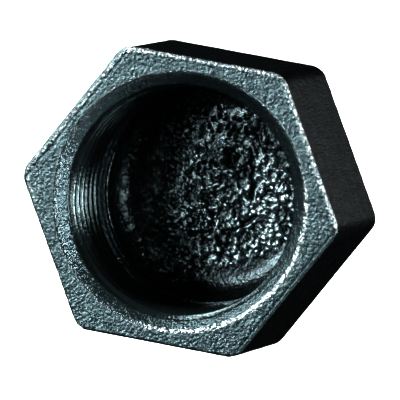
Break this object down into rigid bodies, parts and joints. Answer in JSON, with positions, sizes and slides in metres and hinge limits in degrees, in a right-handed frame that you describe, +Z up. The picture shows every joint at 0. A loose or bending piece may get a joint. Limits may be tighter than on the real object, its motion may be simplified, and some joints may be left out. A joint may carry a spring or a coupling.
{
  "type": "pipe cap",
  "caption": "Hexagonal cast-iron cap with a female pipe thread, screwed onto the male end of a pipe or fitting to close it.",
  "frame": {"origin": "centre of the mouth, on the thread axis", "axes": "+Y along the thread axis from the mouth to the closed crown, -Y out of the mouth; +Z up, with one flat of the hexagon facing -Z; +X towards a corner of the hexagon"},
  "size_m": [0.0436, 0.0233, 0.0384],
  "materials": {
    "cast_iron": "rough as-cast black oxide with a blue-grey sheen, and a cut thread in the socket"
  },
  "bodies": {
    "root": {"cap_body": "cast_iron"}
  },
  "joints": []
}
